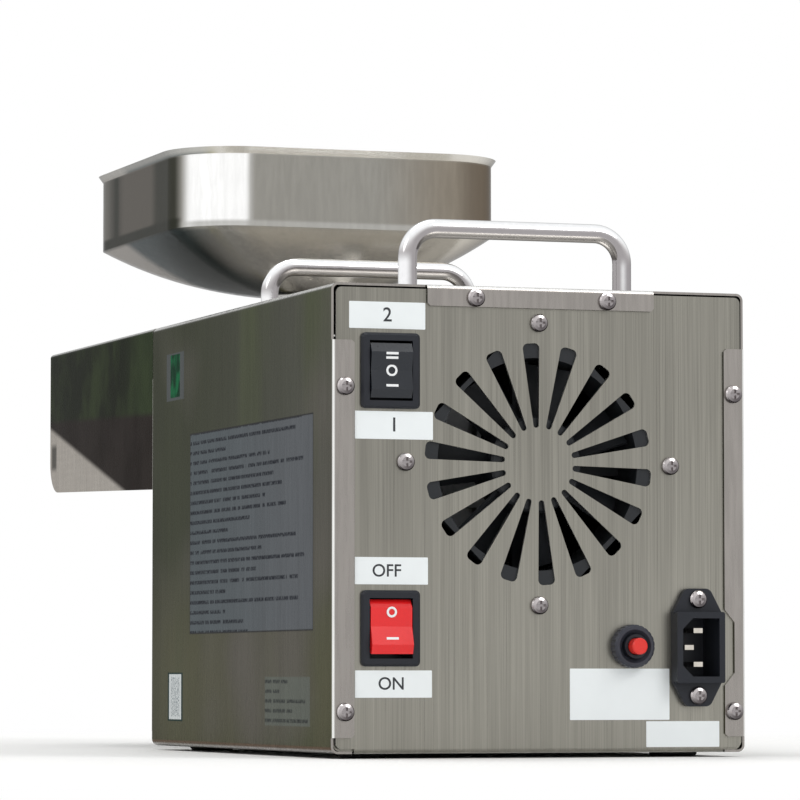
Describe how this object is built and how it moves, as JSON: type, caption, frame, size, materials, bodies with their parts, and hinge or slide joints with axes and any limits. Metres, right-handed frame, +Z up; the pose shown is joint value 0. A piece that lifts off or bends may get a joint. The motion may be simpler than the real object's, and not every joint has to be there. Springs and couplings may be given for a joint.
{
  "type": "screw oil press",
  "caption": "Bench-top screw oil press: folded steel case with a slotted fan panel, rocker switches and inlet, carry handles, sheet hood over the barrel and a stamped feed hopper.",
  "frame": {"origin": "on the floor, under the middle of the machine's width and length", "axes": "+Y towards the rear panel with the fan and switches, +Z up, X across; the barrel points to -Y"},
  "size_m": [0.182, 0.4626, 0.278],
  "materials": {
    "cover_steel": "brushed",
    "panel_steel": "brushed",
    "hood_steel": "polished",
    "hopper_steel": "polished",
    "handle_steel": "polished",
    "screw_steel": "polished",
    "press_steel": "machined",
    "zinc_steel": "zinc plated",
    "cast_alloy": "cast",
    "heater_band": "satin",
    "probe_brass": "satin",
    "motor_black": "satin",
    "bezel_black": "satin",
    "rocker_black": "gloss",
    "rocker_red": "gloss",
    "fan_black": "satin",
    "breaker_black": "satin",
    "button_red": "gloss",
    "label_white": "satin film",
    "label_ink": "printed",
    "mark_white": "printed",
    "inlet_black": "satin",
    "pin_brass": "polished",
    "foot_rubber": "matte",
    "board_green": "satin",
    "relay_blue": "satin",
    "capacitor_grey": "satin",
    "sink_aluminium": "anodised"
  },
  "bodies": {
    "machine": {"cover_shell": "cover_steel", "rear_panel": "panel_steel", "front_panel": "panel_steel", "base_plate": "panel_steel", "feet": "foot_rubber", "rear_handle": "handle_steel", "front_handle": "handle_steel", "handle_nuts": "zinc_steel", "fan_frame": "fan_black", "direction_switch_case": "bezel_black", "heater_switch_case": "bezel_black", "switch_tabs": "pin_brass", "breaker_body": "breaker_black", "breaker_ring": "breaker_black", "inlet_body": "inlet_black", "inlet_pins": "pin_brass", "cover_screws": "screw_steel", "fan_screws": "screw_steel", "inlet_screws": "screw_steel", "front_screws": "screw_steel", "rail_screws": "screw_steel", "press_head": "press_steel", "press_barrel": "press_steel", "thrust_bearing": "press_steel", "heater_band": "heater_band", "heater_clamp_screw": "screw_steel", "temperature_probe": "probe_brass", "head_bolts": "zinc_steel", "gearbox_bolts": "zinc_steel", "hood_rail_left": "zinc_steel", "hood_rail_right": "zinc_steel", "gearbox_housing": "cast_alloy", "gearbox_cover": "cast_alloy", "motor_can": "motor_black", "motor_end_bell": "cast_alloy", "front_cradle": "zinc_steel", "rear_cradle": "zinc_steel", "control_board": "board_green", "board_standoffs": "pin_brass", "relay": "relay_blue", "capacitor": "capacitor_grey", "heat_sink": "sink_aluminium"},
    "fan": {"fan_rotor": "fan_black"},
    "drive": {"auger_screw": "press_steel", "output_shaft": "press_steel"},
    "direction_rocker": {"direction_rocker": "rocker_black"},
    "heater_rocker": {"heater_rocker": "rocker_red"},
    "reset_button": {"breaker_button": "button_red"},
    "ring_nut": {"ring_nut": "press_steel"},
    "outlet_nozzle": {"outlet_nozzle": "press_steel"},
    "hood": {"hood": "hood_steel"},
    "hopper": {"hopper": "hopper_steel", "hopper_spout": "hopper_steel"}
  },
  "joints": [
    {"name": "fan_spin", "type": "hinge", "parent": "machine", "child": "fan", "pos_m": [0.001, 0.20875, 0.121], "axis": [0, 1, 0], "continuous": true},
    {"name": "screw_spin", "type": "hinge", "parent": "machine", "child": "drive", "pos_m": [0, -0.07925, 0.152], "axis": [0, -1, 0], "continuous": true},
    {"name": "direction_rock", "type": "hinge", "parent": "machine", "child": "direction_rocker", "pos_m": [0.066, 0.21775, 0.1582], "axis": [1, 0, 0], "range_deg": [-8, 8]},
    {"name": "heater_rock", "type": "hinge", "parent": "machine", "child": "heater_rocker", "pos_m": [0.066, 0.21775, 0.053], "axis": [1, 0, 0], "range_deg": [-16, 0]},
    {"name": "reset_press", "type": "slide", "parent": "machine", "child": "reset_button", "axis": [0, -1, 0], "range_m": [0, 0.002], "stiffness_N_per_m": 400},
    {"name": "ring_nut_turn", "type": "hinge", "parent": "machine", "child": "ring_nut", "pos_m": [0, -0.06725, 0.152], "axis": [0, -1, 0], "range_deg": [0, 90]},
    {"name": "nozzle_turn", "type": "hinge", "parent": "machine", "child": "outlet_nozzle", "pos_m": [0, -0.19625, 0.152], "axis": [0, -1, 0], "range_deg": [0, 90]},
    {"name": "hood_slide", "type": "slide", "parent": "machine", "child": "hood", "axis": [0, -1, 0], "range_m": [0, 0.19]},
    {"name": "hopper_lift", "type": "slide", "parent": "machine", "child": "hopper", "axis": [0, 0, 1], "range_m": [0, 0.06]}
  ]
}
